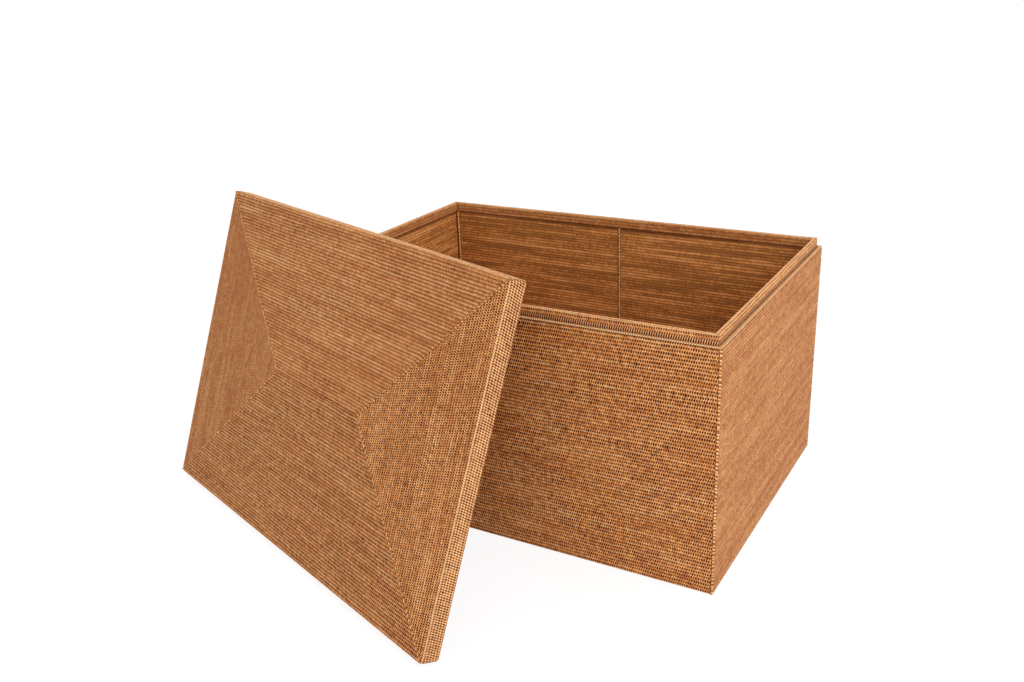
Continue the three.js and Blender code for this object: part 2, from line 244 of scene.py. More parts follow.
def noise(tree, place, scale=1.0, detail=2.0, roughness=0.5):
    return node(tree, "ShaderNodeTexNoise", named={
        "Vector": place, "Scale": scale, "Detail": detail, "Roughness": roughness})


def chance(tree, *place):
    """A random number from 0 to 1 for each place."""
    return node(tree, "ShaderNodeTexWhiteNoise", vector(tree, *place), out="Value")


# How fast each kind of unevenness changes: by the stitch, by the course and by the piece
UNEVEN = {
    "wander": (0.05, 0.21, 1.0), "sway": (0.06, 0.4, 1.0), "slack": (0.03, 0.23, 1.3),
    "long streak": (0.022, 3.1, 1.7), "short streak": (0.13, 5.3, 2.9),
    "patch": (0.014, 0.42, 3.3), "fibre": (0.5, 11.0, 1.0), "strand fibre": (1.5, 2.0, 1.0),
}


def uneven(tree, kind, *place, **settings):
    """Smooth noise from 0 to 1 at a place given in stitches, courses and pieces."""
    scaled = [part * rate for part, rate in zip(place, UNEVEN[kind])]
    return noise(tree, vector(tree, *scaled), **settings)


# Geometry Nodes trees

def new_tree(name, kinds):
    """A tree with its inputs, listed by their kind, and a wire from each of them."""
    tree = bpy.data.node_groups.new(name, "GeometryNodeTree")
    face = tree.interface
    for way in ("INPUT", "OUTPUT"):
        face.new_socket("Geometry", in_out=way, socket_type="NodeSocketGeometry")
    for kind, labels in kinds.items():
        for label in labels:
            face.new_socket(label, in_out="INPUT", socket_type="NodeSocket" + kind)
    entry = tree.nodes.new("NodeGroupInput")
    return tree, {s.name: Wire(tree, s) for s in entry.outputs if s.name}


def finish_tree(tree, geometry, material):
    """Shades the result smooth and ends a tree in Realize Instances and Set Material."""
    smooth = node(tree, "GeometryNodeSetShadeSmooth", domain="FACE", named={
        "Geometry": geometry, "Shade Smooth": True})
    real = node(tree, "GeometryNodeRealizeInstances", smooth)
    dressed = node(tree, "GeometryNodeSetMaterial", named={"Geometry": real, "Material": material})
    end = tree.nodes.new("NodeGroupOutput")
    plug(tree, end.inputs[0], dressed)
    return tree


def stored(tree, geometry, name, value, kind="FLOAT_VECTOR", domain="POINT"):
    """The geometry with a value stored on it under a name."""
    return node(tree, "GeometryNodeStoreNamedAttribute", data_type=kind, domain=domain, named={
        "Geometry": geometry, "Name": name, "Value": value})


def stored_value(tree, name, kind="FLOAT_VECTOR"):
    return node(tree, "GeometryNodeInputNamedAttribute", name, data_type=kind, out="Attribute")


SEED_STEP = 7.31  # sets the noise of one piece apart from the next one's
SWAY_APART = 5.0  # sets the noise of the sway apart from that of the wander
NOISE_SPREAD = 4  # brings noise, less its middle, to about -1 to 1
CREST_SINK = 0.2  # how far a crest may lie low, as a share of the relief
GROOVE_FROM = 0.5  # a groove starts here between the middle of a stitch, 0, and its end, 1
BORDER_FROM = 0.9  # a pit starts here between the middle of a course, 0, and its edge, 1


def woven_tree():
    """Carries a section of courses along X as a closed skin of stitches.

    The section is a loop of points in the YZ plane. Each point has three vectors: "facing" is
    whether it is woven and the way it faces, "row" is its course number, how far its stitches are
    shifted along and how much shorter its ends are, and "finish" is for the material: how open
    its pits are, its share of pale cane or painted shade, and the width of its slits, which are
    dark with painted shade.
    """
    tree, given = new_tree("woven_skin", {
        "Float": ("Half Length", "Mitre Slope", "Mitre Gap", "Corner Radius", "Stitch", "Relief",
                  "Groove", "Pit", "Wander", "Sway"),
        "Int": ("Stitch Cuts", "Spare Stitches", "Seed"), "Material": ("Material",)})
    section = given["Geometry"]
    half, slope, gap = given["Half Length"], given["Mitre Slope"], given["Mitre Gap"]
    radius, stitch, cuts = given["Corner Radius"], given["Stitch"], given["Stitch Cuts"]

    # a grid with one column for each cut along X and one row for each point of the section
    points = node(tree, "GeometryNodeAttributeDomainSize", section, out="Point Count")
    columns = ((half * 2 / stitch).math("CEIL") + given["Spare Stitches"]) * cuts
    grid = node(tree, "GeometryNodeMeshGrid", named={
        "Size X": columns, "Size Y": points, "Vertices X": columns + 1, "Vertices Y": points + 1})
    position = node(tree, "GeometryNodeInputPosition")
    at_x, at_y, _ = position.parts()
    stitches = at_x.nearest() / cuts
    point = (at_y + points * 0.5).nearest().math("MODULO", points)

    def of_point(value):
        return node(tree, "GeometryNodeSampleIndex", data_type="FLOAT_VECTOR", named={
            "Geometry": section, "Value": value, "Index": point}).parts()

    _, inward, height = of_point(position)
    woven, facing_in, facing_up = of_point(stored_value(tree, "facing"))
    course, shift, shorten = of_point(stored_value(tree, "row"))
    opened, bleached, slit = of_point(stored_value(tree, "finish"))

    # where each stitch stands along its course
    seed = given["Seed"] * SEED_STEP
    own = course.whole()
    wander = uneven(tree, "wander", stitches, course.nearest(), seed)
    shift = shift + (wander - 0.5) * given["Wander"] * woven
    along = (stitches + shift) * stitch

    # the ends: cut back to the mitre, and bent round an upright corner where there is one
    turn = math.pi / 4
    centre = inward.most(radius)
    reach = centre - inward
    past = (inward - radius).most(0.0)
    limit = half - gap - centre + reach * turn - (slope - 1) * past - shorten
    held = along.size().least(limit)
    inside = along.size().math("LESS_THAN", limit - JOIN)
    side = along.math("SIGN")
    straight = limit - reach * turn
    angle = ((held - straight) / reach.most(JOIN)).most(0.0).least(turn)
    bent = held.least(straight) + reach * angle.math("SINE")
    depth = inward + reach * (1 - angle.math("COSINE"))
    facing_x = side * facing_in * angle.math("SINE") * -1
    facing_y = facing_in * angle.math("COSINE")

    # relief: rounded courses, grooves between stitches, and pits where the two meet
    across = (course - own - 0.5).size() * 2
    valley = across * across
    crest = chance(tree, (stitches + 0.25).whole(), own, seed) * inside
    on_gap = (1 - (stitches - stitches.nearest()).size() * 2).ramp(GROOVE_FROM, 1.0) * inside
    border = across.ramp(BORDER_FROM, 1.0)
    low = given["Relief"] * (valley + crest * CREST_SINK) + given["Groove"] * on_gap
    low = low + given["Pit"] * on_gap * border * opened
    drop = low * woven * -1
    level = uneven(tree, "sway", stitches, course, seed + SWAY_APART)
    sway = (level - 0.5) * NOISE_SPREAD * given["Sway"] * opened.least(1.0) * inside * woven
    placed = vector(tree, side * bent + facing_x * drop,
                    depth + facing_y * drop + facing_up * sway,
                    height + facing_up * drop - facing_in * sway)

    # for the material: place in the weave and the finish with its painted shade, read before the
    # points move
    place = vector(tree, side * held / stitch - shift, course, given["Seed"])
    marked = stored(tree, grid, "weave", place)
    marked = stored(tree, marked, "finish", vector(tree, opened, bleached, slit))
    skin = node(tree, "GeometryNodeSetPosition", named={"Geometry": marked, "Position": placed})
    closed = node(tree, "GeometryNodeMergeByDistance", named={"Geometry": skin, "Distance": JOIN})
    return finish_tree(tree, closed, given["Material"])


STRAND_POINTS = 6  # points along a strand of a cord, and round it
STRAND_STRAY = 0.45  # the stretch over which a strand may lie out of its place, in pitches
STRAND_SEED_STEP = 3.7  # sets the chances of one cord apart from the next one's


def stitched_tree():
    """Lays a row of arched stitches along X, for a cord."""
    tree, given = new_tree("cord_stitches", {
        "Float": ("Half Length", "Pitch", "Thickness", "Width", "Radius", "Start", "Sweep",
                  "Flatten", "Lean"),
        "Vector": ("Centre",), "Int": ("Seed",), "Material": ("Material",)})
    half, pitch, thick = given["Half Length"], given["Pitch"], given["Thickness"]
    count = ((half * 2 - pitch) / pitch).whole() + 1
    step = half * 2 / count
    line = node(tree, "GeometryNodeMeshLine", mode="OFFSET", named={
        "Count": count, "Start Location": vector(tree, half * -1 + step * 0.5),
        "Offset": vector(tree, step)})

    # one stitch: an arc with a flat oval section, sheared along the cord
    curve = node(tree, "GeometryNodeCurveArc", mode="RADIUS", named={
        "Resolution": STRAND_POINTS, "Radius": given["Radius"] - thick * 0.5,
        "Start Angle": given["Start"], "Sweep Angle": given["Sweep"]})
    share = node(tree, "GeometryNodeSplineParameter", out="Factor")
    curve = stored(tree, curve, "turn", share, "FLOAT")
    oval = node(tree, "GeometryNodeCurvePrimitiveCircle", mode="RADIUS", named={
        "Resolution": STRAND_POINTS, "Radius": thick * 0.5})
    strand = node(tree, "GeometryNodeCurveToMesh", named={
        "Curve": curve, "Profile Curve": oval, "Fill Caps": True})
    turn = stored_value(tree, "turn", "FLOAT")
    x, y, z = node(tree, "GeometryNodeInputPosition").parts()
    wide = z * (given["Width"] / thick) + (turn - 0.5) * given["Lean"]
    strand = node(tree, "GeometryNodeSetPosition", named={
        "Geometry": strand, "Position": vector(tree, wide, x, y * given["Flatten"]),
        "Offset": given["Centre"]})

    laid = node(tree, "GeometryNodeInstanceOnPoints", named={"Points": line, "Instance": strand})
    number = node(tree, "GeometryNodeInputIndex")
    luck = chance(tree, number, given["Seed"] * STRAND_SEED_STEP, 0.5) - 0.5
    laid = node(tree, "GeometryNodeTranslateInstances", named={
        "Instances": laid, "Translation": vector(tree, luck * step * STRAND_STRAY)})
    laid = stored(tree, laid, "number", number, "FLOAT", "INSTANCE")
    real = node(tree, "GeometryNodeRealizeInstances", laid)
    number = stored_value(tree, "number", "FLOAT")
    place = vector(tree, turn * 2 + 0.5, number + 0.5, given["Seed"])
    return finish_tree(tree, stored(tree, real, "weave", place), given["Material"])


# Sections: (depth, height) points, from the first edge of the woven face to its last

def arc(centre_in, centre_up, radius, start, end, steps=8):
    """Points of an arc, from one angle to another in quarter turns."""
    angles = [(start + (end - start) * i / steps) * math.pi / 2 for i in range(steps + 1)]
    return [(centre_in + radius * math.cos(a), centre_up + radius * math.sin(a)) for a in angles]


def slab(low, high, first):
    """The woven face and the back of a flat piece, as two points each.

    Its corners are counted from the lowest outermost, 0, by way of the highest outermost.
    """
    corners = [(low[1], low[2]), (low[1], high[2]), (high[1], high[2]), (high[1], low[2])]
    turned = corners[first:] + corners[:first]
    return turned[:2], turned[2:]


def spread(points, count):
    """count + 1 places evenly along a polyline, and the way each one faces."""
    points = np.array(points, float)
    lengths = np.linalg.norm(np.diff(points, axis=0), axis=1)
    reach = np.concatenate(([0.0], np.cumsum(lengths)))
    even = np.linspace(0.0, reach[-1], count + 1)
    spots = np.stack([np.interp(even, reach, points[:, k]) for k in (0, 1)], axis=1)
    run = np.gradient(spots, axis=0)
    run /= np.linalg.norm(run, axis=1)[:, None]
    return spots, np.stack([-run[:, 1], run[:, 0]], axis=1)


def course_count(face, course):
    length = np.linalg.norm(np.diff(np.array(face, float), axis=0), axis=1).sum()
    return max(1, round(length / course))


class Look(NamedTuple):
    """How one course is worked."""
    opened: float = 1.0  # how open its pits are, which sets their depth and their painted shade
    bleached: float = 0.0  # share of the palest cane or, below 0, of painted shade in the shade colour of the pits
    slit: float = 0.1  # width of the slits between its stitches, dark with painted shade, in stitches
    lean: float = 0.25  # slant of a stitch across the course, in stitches


CROSSING_FROM = 0.3  # where in a course a stitch turns from the row below to the row above
CROSSING_TALL = 0.4  # the height of that turn, in courses


def row_shifts(at, looks, sizes, slanted, seed):
    """How far the stitches are shifted at each place across the courses, in stitches.

    Every second row of pits is offset, unless the stitches of one course run on into the next.
    """
    edges = np.arange(len(looks) + 1)
    leans = np.array([look.lean for look in looks])
    if slanted:
        start = np.concatenate(([0.0], np.cumsum(leans)))
        start -= start.mean()
    else:
        start = sizes.bond * (edges % 2) + sizes.drift * (edges - len(looks) / 2)
        start += np.random.default_rng(seed).uniform(-sizes.stray, sizes.stray, len(edges))
    course = np.minimum(at.astype(int), len(looks) - 1)
    within = at - course
    turn = np.clip((within - CROSSING_FROM) / CROSSING_TALL, 0, 1)
    turn = within if slanted else turn * turn * (3 - 2 * turn)
    from_below = start[course] + leans[course] * within
    from_above = start[course + 1] - leans[course] * (1 - within)
    return from_below * (1 - turn) + from_above * turn


def new_object(name, data):
    thing = bpy.data.objects.new(name, data)
    bpy.context.scene.collection.objects.link(thing)
    return thing


def section_object(face, behind, looks, cuts, shorten, shift_of, edged):
    """The loop of section points that the woven tree reads, as a mesh of edges."""
    courses = len(looks)
    spots, facing = spread(face, courses * cuts)
    woven = len(spots)
    spots = np.concatenate([spots, np.array(behind, float).reshape(-1, 2)])
    count = len(spots)
    mesh = bpy.data.meshes.new("section")
    loop = [(i, (i + 1) % count) for i in range(count)]
    mesh.from_pydata([(0.0, d, h) for d, h in spots], loop, [])
    at = np.arange(woven) / cuts
    ways, rows, finish = np.zeros((3, count, 3), np.float32)
    ways[:woven, 0] = 1
    ways[:woven, 1:] = facing
    rows[:woven, 0] = at
    rows[:woven, 1] = shift_of(at)
    rows[woven:, 0] = courses - 0.5
    if shorten:
        rows[:, 2] = [shorten(d) for d, _ in spots]
    worked = np.array([look[:3] for look in looks])
    below = np.clip(np.ceil(at).astype(int) - 1, 0, courses - 1)
    above = np.clip(at.astype(int), 0, courses - 1)
    finish[:woven] = (worked[below] + worked[above]) / 2
    if edged:
        finish[[0, woven - 1], 0] = 0  # no pits along the edges of the face
    for name, values in (("facing", ways), ("row", rows), ("finish", finish)):
        layer = mesh.attributes.new(name, "FLOAT_VECTOR", "POINT")
        layer.data.foreach_set("vector", values.ravel())
    return new_object("section", mesh)


def run_tree(thing, tree, place, **inputs):
    """The mesh that a Geometry Nodes tree makes of an object, moved to its place."""
    modifier = thing.modifiers.new("build", "NODES")
    modifier.node_group = tree
    for item in tree.interface.items_tree:
        key = item.name.lower().replace(" ", "_")
        if item.in_out == "INPUT" and key in inputs:
            modifier[item.identifier] = inputs[key]
    bpy.context.view_layer.update()
    graph = bpy.context.evaluated_depsgraph_get()
    mesh = bpy.data.meshes.new_from_object(thing.evaluated_get(graph), depsgraph=graph)
    thing.modifiers.remove(modifier)
    old = thing.data
    bpy.data.objects.remove(thing)
    bpy.data.meshes.remove(old)
    mesh.materials.clear()
    mesh.materials.append(inputs["material"])
    mesh.transform(place)
    return mesh


def close_ends(mesh):
    """Fills each open end of a skin with one face."""
    shape = bmesh.new()
    shape.from_mesh(mesh)
    edges = [e for e in shape.edges if e.is_boundary]
    filled = bmesh.ops.holes_fill(shape, edges=edges, sides=0)
    for face in filled["faces"]:
        face.smooth = False
    shape.to_mesh(mesh)
    shape.free()
    return mesh


def joined(meshes):
    """One mesh of several, with touching seams merged. Each comes with one material."""
    materials = list(dict.fromkeys(mesh.materials[0] for mesh in meshes))
    shape = bmesh.new()
    for mesh in meshes:
        number = materials.index(mesh.materials[0])
        mesh.polygons.foreach_set("material_index", [number] * len(mesh.polygons))
        shape.from_mesh(mesh)
    bmesh.ops.remove_doubles(shape, verts=shape.verts, dist=JOIN)
    whole = bpy.data.meshes.new("joined")
    shape.to_mesh(whole)
    shape.free()
    for material in materials:
        whole.materials.append(material)
    return whole


def add_piece(name, mesh, body, slot, *nodes):
    """A finished piece that rides on its body and stands for the CAD nodes it covers."""
    thing = new_object(name, mesh)
    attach(thing, body)
    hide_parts(*nodes)


# Materials

# The painted shade of a pit: its size and spread
PIT_WIDE = 0.40  # half the width of a pit, in stitches
PIT_TALL = 0.46  # half the height of a pit, in courses
PIT_SPREAD = 0.4  # from the smallest pit to the largest, as a share of those sizes
PITS_APART = 4.0  # sets the chances of the pits apart from those of the stitches

# How much each kind of unevenness, and the painted highlight on the crests of stitches and courses,
# moves a strand from the darker cane to the lighter
SHORT_STREAKS = 0.9
SINGLE_STITCHES = 0.65
PATCHES = 1.1
STITCH_CREST_HIGHLIGHT = 0.5
COURSE_CREST_HIGHLIGHT = 0.25
STRAND_CHANCE = 1.2
STRAND_FIBRES = 0.6

# Ramps: where each one starts and ends
NOISE_RANGE = (0.2, 0.8)
SLACK_PITS = (0.3, 0.7, 0.75, 1.15)  # noise, and how far it opens the pits
LIGHT_STRANDS = (0.05, 0.95)  # tone at which the lighter cane sets in and is all there is
PALE_STRANDS = (0.8, 1.25, 0.0, 0.6)  # tone, and the share of the palest cane
GAPING_PITS = (0.992, 0.996)  # chance above which a pit gapes
PIT_RIM = (0.6, 1.35)  # painted shade at the rim of a pit: distance from its middle, in halves of its size
# painted shade inside a pit
PIT_INSIDE = (0.4, 1.0)
COURSE_LINE = (0.02, 0.3)  # painted shade along the line between two courses: distance from it, in courses
SLIT_EDGE = (0.4, 1.0)  # painted shade in a slit: distance from its middle, in halves of its width
SLIT_INSIDE = (0.3, 1.0)  # how dark the painted shade of a slit is, and the part of it that is as dark as a pit
RIM_SHARE = 0.85  # how dark the painted shade at the rim of a pit gets
GRAIN_STRETCH = 0.12  # how fast the grain of wood changes along it, next to across it


def new_material(name):
    material = bpy.data.materials.new(name)
    material.use_nodes = True
    return material, material.node_tree, material.node_tree.nodes["Principled BSDF"]


def darker(colour, share):
    return tuple(share * c for c in colour)


def between(first, second, share):
    return tuple((1 - share) * x + share * y for x, y in zip(first, second))


def tint(colour):
    return (*colour, 1.0)


def blend(tree, share, first, second):
    return node(tree, "ShaderNodeMix", data_type="RGBA", out="Result",
                named={"Factor": share, "A": first, "B": second})


def marks(tree, name):
    """The three numbers that a piece's mesh carries under a name.

    Those of "weave" are stitches along the course, courses across it and the piece.
    """
    return node(tree, "ShaderNodeAttribute", attribute_name=name, out="Vector").parts()


def surfaced(tree, shader, colour, grain, roughness, bumps, depth, pits=0.0):
    """Gives a shader its colour, and roughness and fine bumps that follow a grain."""
    rough = grain.ramp(*NOISE_RANGE, *roughness).most(pits)
    bump = node(tree, "ShaderNodeBump", out="Normal", named={
        "Strength": bumps, "Distance": depth, "Height": grain})
    for name, value in (("Base Color", colour), ("Roughness", rough), ("Normal", bump)):
        plug(tree, shader.inputs[name], value)


def cane_material(name, light, dark, pale, rim_shade_colour, shade, streaks=0.9, line=0.3):
    """Cane split fine and woven: streaks along each course, odd pale strands, painted shade in
    pits, slits and lines between courses, and painted highlight on the crests.

    streaks is how strong the long streaks are, and line how dark the painted shade is between two
    courses.
    shade is the colour of the painted shade inside pits and slits, which also darkens whole
    courses.
    """
    material, tree, shader = new_material(name)
    along, across, piece = marks(tree, "weave")
    # the finish: how open the pits are, the share of pale cane or painted shade, and the slit width
    opened, bleached, slit = marks(tree, "finish")
    stitch, course = along.whole(), across.whole()
    opened = opened * uneven(tree, "slack", along, across, piece).ramp(*SLACK_PITS)

    # tone of the strands, with painted highlight on the crests of stitches and courses and painted
    # shade towards the gaps and lines between them
    luck = chance(tree, stitch + 0.5, course + 0.5, piece)
    from_gap, from_line = (along - along.nearest()).size(), (across - across.nearest()).size()
    tone = ((uneven(tree, "long streak", along, course, piece) - 0.5) * streaks
            + (uneven(tree, "short streak", along, course, piece) - 0.5) * SHORT_STREAKS
            + (luck - 0.5) * SINGLE_STITCHES
            + (uneven(tree, "patch", along, across, piece) - 0.5) * PATCHES
            + (from_gap * 2 - 0.5) * opened * STITCH_CREST_HIGHLIGHT
            + (from_line * 2 - 0.5) * COURSE_CREST_HIGHLIGHT + 0.5)
    colour = blend(tree, tone.ramp(*LIGHT_STRANDS), tint(dark), tint(light))
    colour = blend(tree, tone.ramp(*PALE_STRANDS).most(bleached), colour, tint(pale))
    # painted shade over the whole course where that share is below 0
    colour = blend(tree, bleached.least(0.0) * -1, colour, tint(shade))

    # painted shade in the pits at the line between two courses, along that line and in the slits
    # between stitches; a few pits gape
    odd = chance(tree, along.nearest(), across.nearest(), piece + PITS_APART)
    larger = (odd.ramp(*GAPING_PITS) + odd) * PIT_SPREAD
    off_along, off_across = from_gap / PIT_WIDE, from_line / PIT_TALL
    away = (off_along * off_along + off_across * off_across).math("SQRT")
    away = away / (larger + 1 - PIT_SPREAD / 2)
    course_line_shade = (1 - from_line.ramp(*COURSE_LINE)) * line
    slit_shade = 1 - (from_gap / (slit.most(0.01) * 0.5)).ramp(*SLIT_EDGE)
    # rim is the painted shade at the rim of a pit, along the course line and in slits; inside is
    # the darker painted shade within pits and slits
    rim = ((1 - away.ramp(*PIT_RIM)) * opened).most(course_line_shade).most(slit_shade)
    inside = ((1 - away.ramp(*PIT_INSIDE)) * opened).most(slit_shade.ramp(*SLIT_INSIDE)).least(1.0)
    colour = blend(tree, rim.least(1.0) * RIM_SHARE, colour, tint(rim_shade_colour))
    colour = blend(tree, inside, colour, tint(shade))

    # a satin skin with fibres along the strands, dull inside the pits
    shader.inputs["Specular IOR Level"].default_value = 0.2
    fibre = uneven(tree, "fibre", along, across, piece, detail=3.0)
    surfaced(tree, shader, colour, fibre, roughness=(0.45, 0.65), bumps=0.35, depth=0.15 * MM,
             pits=inside)
    return material


def strand_material(name, light, dark):
    """Single strands of cane, each with its own tone."""
    material, tree, shader = new_material(name)
    along, across, piece = marks(tree, "weave")
    luck = chance(tree, across.whole() + 0.5, piece, 2.5)
    fibre = uneven(tree, "strand fibre", along, across, piece, scale=6.0, detail=3.0)
    tone = (luck - 0.5) * STRAND_CHANCE + (fibre - 0.5) * STRAND_FIBRES + 0.5
    colour = blend(tree, tone.ramp(0.0, 1.0), tint(dark), tint(light))
    surfaced(tree, shader, colour, fibre, roughness=(0.38, 0.58), bumps=0.3, depth=0.1 * MM)
    return material


def wood_material(name, colour, grain_scale):
    """Plain sawn wood with its grain along X."""
    material, tree, shader = new_material(name)
    spot = node(tree, "ShaderNodeTexCoord", out="Object")
    stretched = node(tree, "ShaderNodeMapping", named={
        "Vector": spot, "Scale": (grain_scale * GRAIN_STRETCH, grain_scale, grain_scale)})
    rings = noise(tree, stretched, scale=60.0, detail=4.0, roughness=0.6)
    shown = blend(tree, rings.ramp(0.3, 0.7), tint(darker(colour, 0.6)), tint(colour))
    surfaced(tree, shader, shown, rings, roughness=(0.6, 0.8), bumps=0.2, depth=0.1 * MM)
    return material


def material_of(name):
    """The material of that name, made from the colour settings when it is first asked for."""
    colours = bpy.context.scene.cane_colours
    # the colours of the painted shade in pits, slits and between courses
    pits = colours.rim, colours.shade
    makers = {
        "outer_cane": (cane_material, colours.honey, colours.russet, colours.pale, *pits),
        # the lining has stronger long streaks and darker painted shade between its courses
        "inner_cane": (cane_material, colours.lining, darker(colours.lining, 0.5),
                       between(colours.honey, colours.pale, 0.3), *pits, 3.0, 0.55),
        "pale_strand": (strand_material, colours.pale, colours.honey),
        "corner_strand": (strand_material, between(colours.honey, colours.pale, 0.4),
                          darker(colours.honey, 0.8)),
        "sawn_lath": (wood_material, colours.wood, 1.0),
        "sawn_board": (wood_material, darker(colours.wood, 0.9), 0.5),
    }
    maker, *values = makers[name]
    return bpy.data.materials.get(name) or maker(name, *values)


# Places

def side_place(side, base=None):
    """Where a side's drawing goes: X along the side, Y inward and Z up."""
    turn = math.radians(SIDES[side])
    face = DEPTH / 2 if side in LONG_SIDES else WIDTH / 2
    out = Matrix.Translation((math.sin(turn) * face, -math.cos(turn) * face, 0))
    return (base or Matrix.Identity(4)) @ out @ Matrix.Rotation(turn, 4, "Z")


def corner_place(corner):
    """Where a corner's drawing goes: from the corner itself, with X and Y inward."""
    turn, way_x, way_y = CORNERS[corner]
    out = Matrix.Translation((way_x * WIDTH / 2, way_y * DEPTH / 2, 0))
    return out @ Matrix.Rotation(math.radians(turn), 4, "Z")


def upright(middle):
    """Turns a drawing so that it runs up: its length along Z, its section in plan."""
    turned = Matrix(((0, 1, 0, 0), (0, 0, 1, 0), (1, 0, 0, 0), (0, 0, 0, 1)))
    return Matrix.Translation((0, 0, middle)) @ turned


def extents(name, place):
    """The lowest and highest corner of a CAD node, measured in the frame of that place."""
    back = np.array(place.inverted())
    spots = np.array([v.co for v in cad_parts[name].data.vertices])
    spots = spots @ back[:3, :3].T + back[:3, 3]
    return spots.min(axis=0), spots.max(axis=0)


def all_round(stem, keys=SIDES, base=None):
    """The number, side or corner, place and extents of each CAD node of one kind."""
    for number, key in enumerate(keys):
        place = side_place(key, base) if key in SIDES else corner_place(key)
        yield number, key, place, *extents(f"{stem}_{key}", place)


def lid_place():
    """The lid's own frame: X along its long edge, Y up its slope, Z out of its woven face."""
    spots = np.array([v.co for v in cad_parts["lid_board"].data.vertices])
    spots = np.unique(np.round(spots, 5), axis=0)
    middle = spots.mean(axis=0)
    _, ways = np.linalg.eigh(np.cov((spots - middle).T))
    along = Vector(ways[:, 2]) * math.copysign(1, ways[0, 2])
    rise = Vector(ways[:, 1]) * math.copysign(1, ways[2, 1])
    out = along.cross(rise)
    place = Matrix.Translation(middle) @ Matrix((along, rise, out)).transposed().to_4x4()
    rim = min(extents(f"lid_skirt_{side}", place)[0][2] for side in SIDES)
    return place @ Matrix.Translation((0, 0, rim))


# Woven pieces

CORD_RELIEF = 0.3 * MM
STRAND_THICK = 0.9 * MM


def weave_skin(place, half, face, behind, cane, look=Look(), first=None,
               course="course", cuts=(2, 3), slanted=False, edged=True, shorten=None, seed=0,
               open_ends=False, **changed):
    """A woven skin along X, from its section to a finished mesh.

    look is the look of every course, or a list with one for each; first is the first course's.
    course names the setting for its height. cuts are the faces along a stitch and across a
    course. An edged face has no pits along its first and last edge.
    """
    sizes = bpy.context.scene.cane_weave
    several = isinstance(look, list)
    looks = list(look) if several else [look] * course_count(face, getattr(sizes, course))
    looks[0] = first or looks[0]

    def shift_of(at):
        return row_shifts(at, looks, sizes, slanted, seed)

    furthest = np.abs(shift_of(np.arange(0, len(looks) + 0.01, 0.25))).max()
    inputs = {
        "half_length": half, "mitre_slope": 0.0, "mitre_gap": 0.0, "corner_radius": 0.0,
        "stitch": sizes.stitch, "stitch_cuts": cuts[0], "relief": sizes.relief,
        "spare_stitches": 2 * math.ceil(furthest + 1), "groove": sizes.groove,
        "pit": sizes.pit, "wander": sizes.wander, "sway": 0.0 if slanted else sizes.sway,
        "seed": seed, "material": material_of(cane),
    }
    section = section_object(face, behind, looks, cuts[1], shorten, shift_of,
                             edged=edged and not slanted)
    tree = bpy.data.node_groups.get("woven_skin") or woven_tree()
    mesh = run_tree(section, tree, place, **{**inputs, **changed})
    return mesh if open_ends else close_ends(mesh)


class Strands(NamedTuple):
    """How the strands of a cord are laid over its core. Angles are round the cord."""
    start: float  # where a strand starts
    sweep: float  # how far round it goes
    pitch: float = 5.2 * MM  # from one strand to the next
    width: float = 3.4 * MM
    lean: float = 1.0 * MM  # slant of a strand along the cord
    flatten: float = 1.0  # height of its arch, as a share of a round one's


def cord_mesh(place, half, face, behind, centre, radius, cane, looks, strand, laid, seed):
    """A cord of cane: a woven core with a row of strands laid over it."""
    core = weave_skin(place, half, face, behind, cane, looks,
                      slanted=looks[0].lean > 0.5, seed=seed, relief=CORD_RELIEF)
    tree = bpy.data.node_groups.get("cord_stitches") or stitched_tree()
    stitches = run_tree(
        new_object("cord", bpy.data.meshes.new("cord")), tree, place, half_length=half,
        thickness=STRAND_THICK, radius=radius, centre=(0.0, *centre), seed=seed,
        material=material_of(strand), **laid._asdict())
    return joined([core, stitches])


class CANEBOX_OT_outer_walls(Operator):
    """Weave the four outer walls over the laths"""
    bl_idname = "canebox.outer_walls"
    bl_label = "Outer walls"

    def execute(self, context):
        foot = context.scene.cane_edges.foot
        for seed, side, place, _, high in all_round("wall_weave"):
            face = [*arc(foot, foot, foot, -1, -2), (0, high[2])]
            behind = [(high[1], high[2]), (high[1], 0)]
            # the short walls have shallower pits with less painted shade, and are darkened with
            # painted shade for the light that falls on them
            look = Look() if side in LONG_SIDES else Look(opened=0.4, bleached=-0.27)
            mesh = weave_skin(place, high[0], face, behind, "outer_cane", look,
                              edged=False, seed=seed)
            add_piece(f"outer_wall_{side}", mesh, "root", "woven_cane", f"wall_weave_{side}")
        return {"FINISHED"}


class CANEBOX_OT_corner_cords(Operator):
    """Lay a stitched cord up each outer corner"""
    bl_idname = "canebox.corner_cords"
    bl_label = "Outer corner cords"

    def execute(self, context):
        scene = context.scene
        edge = scene.cane_edges.corner
        sunk = 0.7 * MM
        # the core under the strands is darkened with painted shade, and its slits are dark with
        # painted shade
        looks = [Look(opened=0.6, bleached=-0.3, slit=0.5, lean=1.0)] * 2
        laid = Strands(start=-0.54 * math.pi, sweep=-0.42 * math.pi,
                       pitch=scene.cane_weave.course, width=2.6 * MM, lean=0.9 * MM)
        for seed, corner, place, low, high in all_round("wall_corner_cord", CORNERS):
            thick, half = high[0], (high[2] - low[2]) / 2
            face = [(thick, sunk), *arc(edge, edge, edge - sunk, -1, -2), (sunk, thick)]
            mesh = cord_mesh(
                place @ upright(half), half, face, [(thick, thick)], (edge, edge), edge,
                "outer_cane", looks, "corner_strand", laid, 20 + seed)
            add_piece(f"outer_corner_cord_{corner}", mesh, "root", "edge_cane",
                      f"wall_corner_cord_{corner}")
        return {"FINISHED"}


